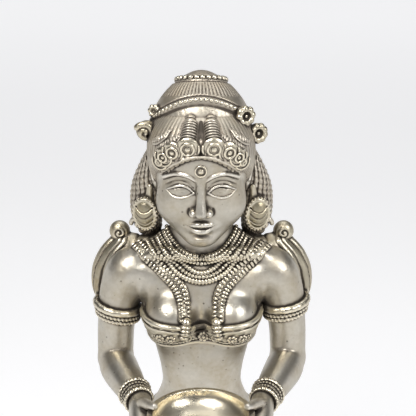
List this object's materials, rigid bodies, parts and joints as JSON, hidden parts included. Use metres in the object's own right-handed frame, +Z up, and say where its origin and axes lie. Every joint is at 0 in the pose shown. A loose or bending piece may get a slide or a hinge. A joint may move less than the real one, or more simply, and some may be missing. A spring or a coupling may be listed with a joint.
{
  "type": "figurine",
  "caption": "Cast brass figurine of a standing lady in a bun and jewellery, holding a pointed oil bowl in both hands on a lotus pedestal.",
  "frame": {"origin": "centre of the plinth's underside", "axes": "+Z up, the figure faces -Y, +X is the figure's left"},
  "size_m": [0.078, 0.0857, 0.1961],
  "materials": {
    "skin_brass": "silvered, rubbed satin with dark pits",
    "cloth_brass": "silvered, olive toned in the folds",
    "hair_brass": "darkened, combed",
    "ornament_brass": "worn bright edges over dark recesses",
    "lamp_brass": "worn satin",
    "pedestal_brass": "worn satin over dark recesses",
    "bolt_steel": "plain turned"
  },
  "bodies": {
    "root": {"anklets_left": "ornament_brass", "anklets_right": "ornament_brass", "armlet_left": "ornament_brass", "armlet_right": "ornament_brass", "back_shawl_left": "cloth_brass", "back_shawl_right": "cloth_brass", "bangles_left": "ornament_brass", "bangles_right": "ornament_brass", "breast_band": "cloth_brass", "breast_band_studs": "ornament_brass", "brow_dot": "ornament_brass", "brow_medallions": "ornament_brass", "bun_bead_string_lower": "ornament_brass", "bun_bead_string_upper": "ornament_brass", "ear_plug_left": "ornament_brass", "ear_plug_right": "ornament_brass", "foot_left": "skin_brass", "foot_plate": "pedestal_brass", "foot_right": "skin_brass", "forearm_left": "skin_brass", "forearm_right": "skin_brass", "front_pleats": "cloth_brass", "front_roll_left": "hair_brass", "front_roll_right": "hair_brass", "girdle": "ornament_brass", "girdle_clasp": "ornament_brass", "hair": "hair_brass", "hair_bun": "hair_brass", "hair_flowers_left": "ornament_brass", "hair_flowers_right": "ornament_brass", "hand_left": "skin_brass", "hand_right": "skin_brass", "head": "skin_brass", "lamp_bowl": "lamp_brass", "legs_and_skirt": "cloth_brass", "long_strand_left": "ornament_brass", "long_strand_right": "ornament_brass", "lotus_lower": "pedestal_brass", "lotus_upper": "pedestal_brass", "lotus_waist_ring": "pedestal_brass", "necklace_inner": "ornament_brass", "necklace_middle": "ornament_brass", "necklace_outer": "ornament_brass", "plinth": "pedestal_brass", "shoulder_knot_left": "cloth_brass", "shoulder_knot_right": "cloth_brass", "side_lock_left": "hair_brass", "side_lock_right": "hair_brass", "side_sash_left": "cloth_brass", "side_sash_right": "cloth_brass", "temple_lock_left": "hair_brass", "temple_lock_right": "hair_brass", "thigh_swags_left": "ornament_brass", "thigh_swags_right": "ornament_brass", "tie_bolt": "bolt_steel", "tie_washer": "bolt_steel", "torso": "skin_brass", "upper_arm_left": "skin_brass", "upper_arm_right": "skin_brass"}
  },
  "joints": []
}
